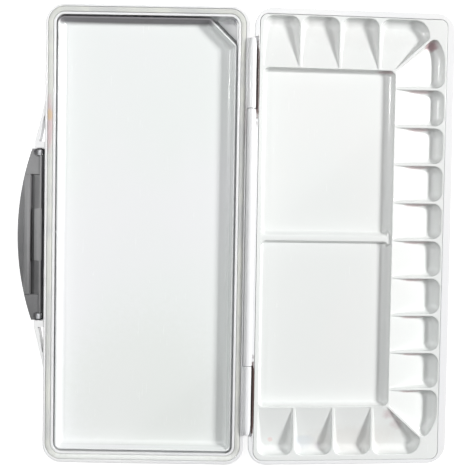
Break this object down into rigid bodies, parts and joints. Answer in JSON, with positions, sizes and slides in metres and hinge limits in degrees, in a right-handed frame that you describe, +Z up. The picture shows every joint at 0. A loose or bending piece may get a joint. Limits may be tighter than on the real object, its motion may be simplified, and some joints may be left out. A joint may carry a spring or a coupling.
{
  "type": "folding watercolour mixing palette",
  "caption": "Folding paint palette lying open: a deep gasketed case with a lift-out mixing tray, a shallow lid of paint wells round two mixing dishes, and a snap latch.",
  "frame": {"origin": "middle of the case's flat underside, on the table", "axes": "+X from the case across the hinge to the open lid, +Y along the hinge towards the end with the tray's cut corner, +Z up"},
  "size_m": [0.2865, 0.3, 0.026],
  "materials": {
    "case_white": "gloss",
    "tray_white": "gloss",
    "gasket_grey": "matte",
    "latch_grey": "satin",
    "pin_steel": "satin",
    "pin_white": "gloss"
  },
  "bodies": {
    "case": {"base_case": "case_white", "rim_gasket": "gasket_grey", "hinge_pin_upper": "pin_steel", "hinge_pin_lower": "pin_steel", "latch_pin_upper": "pin_white", "latch_pin_lower": "pin_white"},
    "tray": {"mixing_tray": "tray_white"},
    "lid": {"lid_shell": "case_white", "well_tray": "tray_white"},
    "latch": {"latch_handle": "latch_grey"}
  },
  "joints": [
    {"name": "lid_hinge", "type": "hinge", "parent": "case", "child": "lid", "pos_m": [0.0678, 0, 0.02325], "axis": [0, -1, 0], "range_deg": [0, 185.01]},
    {"name": "latch_pivot", "type": "hinge", "parent": "case", "child": "latch", "pos_m": [-0.0702, 0, 0.0198], "axis": [0, 1, 0], "range_deg": [0, 90]},
    {"name": "mixing_tray_lift", "type": "slide", "parent": "case", "child": "tray", "axis": [0, 0, 1], "range_m": [0, 0.06]}
  ]
}
